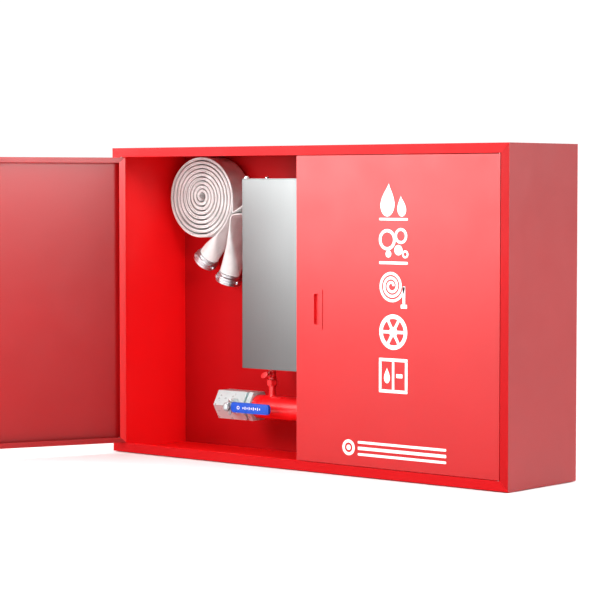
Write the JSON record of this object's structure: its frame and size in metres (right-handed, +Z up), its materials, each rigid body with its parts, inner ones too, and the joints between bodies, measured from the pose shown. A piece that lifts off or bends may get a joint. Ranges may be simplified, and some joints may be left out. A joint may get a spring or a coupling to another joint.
{
  "type": "foam hydrant cabinet",
  "caption": "Wall-hung red steel fire cabinet with hinged doors, holding a rolled hose, a foam tank, a ball valve on a water pipe and a nozzle.",
  "frame": {"origin": "centre of the back panel's outer face, which lies against the wall", "axes": "+Y into the wall, +Z up, +X along the cabinet's width, to the right for a person who faces the doors"},
  "size_m": [1.3989, 0.7896, 0.75],
  "materials": {
    "red_paint": "gloss powder coat",
    "stainless": "brushed sheet",
    "nickel": "nickel plate",
    "zinc_steel": "zinc plate",
    "alloy": "turned and satin",
    "brass": "satin",
    "hose_jacket": "woven polyester jacket",
    "blue_vinyl": "dipped vinyl",
    "black_plastic": "moulded",
    "rubber_black": "moulded",
    "seat_plastic": "machined",
    "magnet": "magnet in a plastic case",
    "white_marks": "printed film"
  },
  "bodies": {
    "cabinet": {"back_panel": "red_paint", "left_panel": "red_paint", "right_panel": "red_paint", "top_panel": "red_paint", "bottom_panel": "red_paint", "supply_grommet": "rubber_black", "tank_body": "stainless", "tank_lid": "stainless", "lid_nut_front_left": "stainless", "lid_nut_front_right": "stainless", "lid_nut_rear_left": "stainless", "lid_nut_rear_right": "stainless", "vent_screw": "stainless", "filler_neck": "stainless", "left_shelf": "red_paint", "right_shelf": "red_paint", "tank_clip": "red_paint", "mixing_pipe": "red_paint", "supply_elbow": "red_paint", "supply_pipe": "red_paint", "left_pipe_clamp": "red_paint", "right_pipe_clamp": "red_paint", "valve_body": "nickel", "valve_end_piece": "nickel", "left_seat": "seat_plastic", "right_seat": "seat_plastic", "gland_nut": "nickel", "tank_outlet": "red_paint", "foam_valve_body": "red_paint", "union_nut": "red_paint", "foam_riser": "red_paint", "hose_peg": "red_paint", "lower_nozzle_clip": "zinc_steel", "upper_nozzle_clip": "zinc_steel"},
    "door_left": {"left_door": "red_paint", "left_pull_cup": "red_paint", "left_door_top_pivot": "zinc_steel", "left_door_bottom_pivot": "zinc_steel", "left_door_magnet": "magnet"},
    "door_right": {"right_door": "red_paint", "right_pull_cup": "red_paint", "right_door_top_pivot": "zinc_steel", "right_door_bottom_pivot": "zinc_steel", "right_door_magnet": "magnet"},
    "cap": {"filler_cap": "black_plastic"},
    "water_lever": {"valve_ball": "nickel", "valve_stem": "nickel", "valve_lever": "nickel", "lever_sleeve": "blue_vinyl", "lever_nut": "nickel"},
    "foam_lever": {"foam_valve_ball": "nickel", "foam_valve_stem": "brass", "foam_valve_handle": "red_paint"},
    "hose": {"hose_roll": "hose_jacket", "inner_hose_end": "hose_jacket", "outer_hose_end": "hose_jacket", "inner_coupling": "alloy", "outer_coupling": "alloy"},
    "nozzle": {"nozzle_barrel": "alloy", "nozzle_coupling": "alloy"}
  },
  "joints": [
    {"name": "left_door_hinge", "type": "hinge", "parent": "cabinet", "child": "door_left", "pos_m": [-0.5725, -0.25675, 0], "axis": [0, 0, -1], "range_deg": [-113, 2]},
    {"name": "right_door_hinge", "type": "hinge", "parent": "cabinet", "child": "door_right", "pos_m": [0.5725, -0.25675, 0], "axis": [0, 0, 1], "range_deg": [0, 115]},
    {"name": "water_valve_turn", "type": "hinge", "parent": "cabinet", "child": "water_lever", "pos_m": [-0.2895, -0.12, -0.252], "axis": [0, -1, 0], "range_deg": [0, 90]},
    {"name": "foam_valve_turn", "type": "hinge", "parent": "cabinet", "child": "foam_lever", "pos_m": [-0.197, -0.12, -0.172], "axis": [0, -1, 0], "range_deg": [0, 90]},
    {"name": "filler_cap_turn", "type": "hinge", "parent": "cabinet", "child": "cap", "pos_m": [-0.03, -0.089, 0.2995], "axis": [0, 0, 1], "range_deg": [0, 90]},
    {"name": "hose_slide", "type": "slide", "parent": "cabinet", "child": "hose", "axis": [0, -1, 0], "range_m": [0, 0.12]},
    {"name": "nozzle_slide", "type": "slide", "parent": "cabinet", "child": "nozzle", "axis": [0, -1, 0], "range_m": [0, 0.1]}
  ]
}
